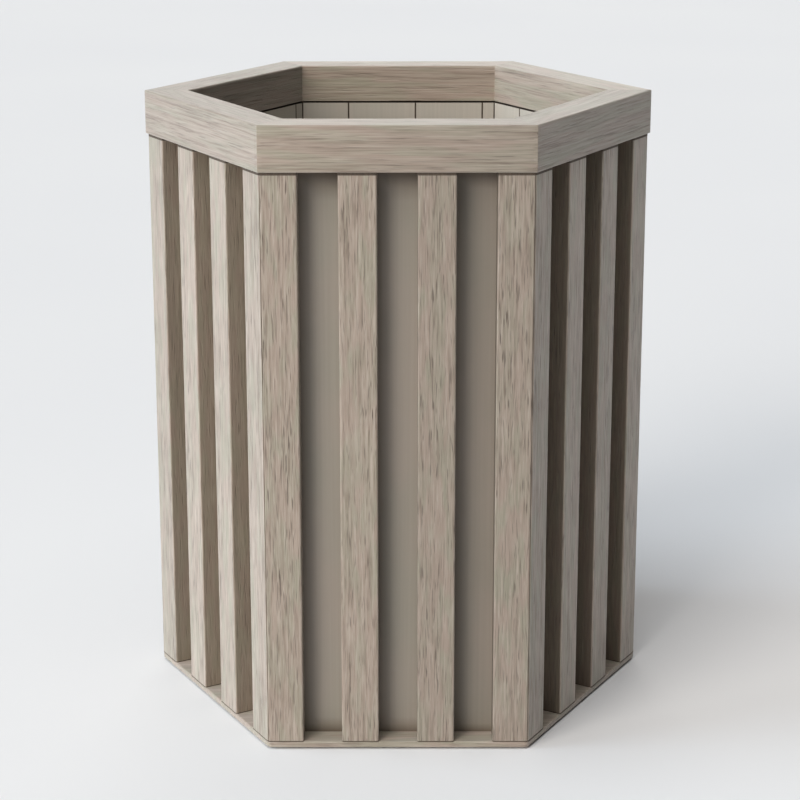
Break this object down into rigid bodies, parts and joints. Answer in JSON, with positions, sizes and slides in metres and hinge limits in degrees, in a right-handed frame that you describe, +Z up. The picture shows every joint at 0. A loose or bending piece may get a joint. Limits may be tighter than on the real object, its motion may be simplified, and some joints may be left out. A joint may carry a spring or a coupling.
{
  "type": "wastebasket",
  "caption": "Open-topped hexagonal wooden wastebasket with vertical slats and recessed panels on every wall, a thick mitred rim and a thin flat base.",
  "frame": {"origin": "middle of the basket, in the plane of the surface that its pads stand on", "axes": "+Z up the basket's axis to its open top, -Y out of the front wall, +X towards the right-hand corner"},
  "size_m": [0.2662, 0.231, 0.321],
  "materials": {
    "stave_wood": "limed, weathered grey-beige, matt",
    "rim_wood": "limed, weathered grey-beige, matt",
    "base_wood": "limed, weathered grey-beige, matt",
    "floor_wood": "painted grey-beige, matt",
    "joinery_wood": "bare hardwood",
    "screw_metal": "zinc plated",
    "pad_felt": "dense felt"
  },
  "bodies": {
    "root": {"front_wall_left_corner_stave": "stave_wood", "front_wall_left_stave": "stave_wood", "front_wall_right_stave": "stave_wood", "front_wall_right_corner_stave": "stave_wood", "front_right_wall_left_corner_stave": "stave_wood", "front_right_wall_left_stave": "stave_wood", "front_right_wall_right_stave": "stave_wood", "front_right_wall_right_corner_stave": "stave_wood", "back_right_wall_left_corner_stave": "stave_wood", "back_right_wall_left_stave": "stave_wood", "back_right_wall_right_stave": "stave_wood", "back_right_wall_right_corner_stave": "stave_wood", "back_wall_left_corner_stave": "stave_wood", "back_wall_left_stave": "stave_wood", "back_wall_right_stave": "stave_wood", "back_wall_right_corner_stave": "stave_wood", "back_left_wall_left_corner_stave": "stave_wood", "back_left_wall_left_stave": "stave_wood", "back_left_wall_right_stave": "stave_wood", "back_left_wall_right_corner_stave": "stave_wood", "front_left_wall_left_corner_stave": "stave_wood", "front_left_wall_left_stave": "stave_wood", "front_left_wall_right_stave": "stave_wood", "front_left_wall_right_corner_stave": "stave_wood", "rim_rail_front": "rim_wood", "rim_rail_front_right": "rim_wood", "rim_rail_back_right": "rim_wood", "rim_rail_back": "rim_wood", "rim_rail_back_left": "rim_wood", "rim_rail_front_left": "rim_wood", "base_plate": "base_wood", "floor_panel": "floor_wood", "corner_splines": "joinery_wood", "rim_splines": "joinery_wood", "rim_dowels": "joinery_wood", "base_screws": "screw_metal", "felt_pads": "pad_felt"}
  },
  "joints": []
}
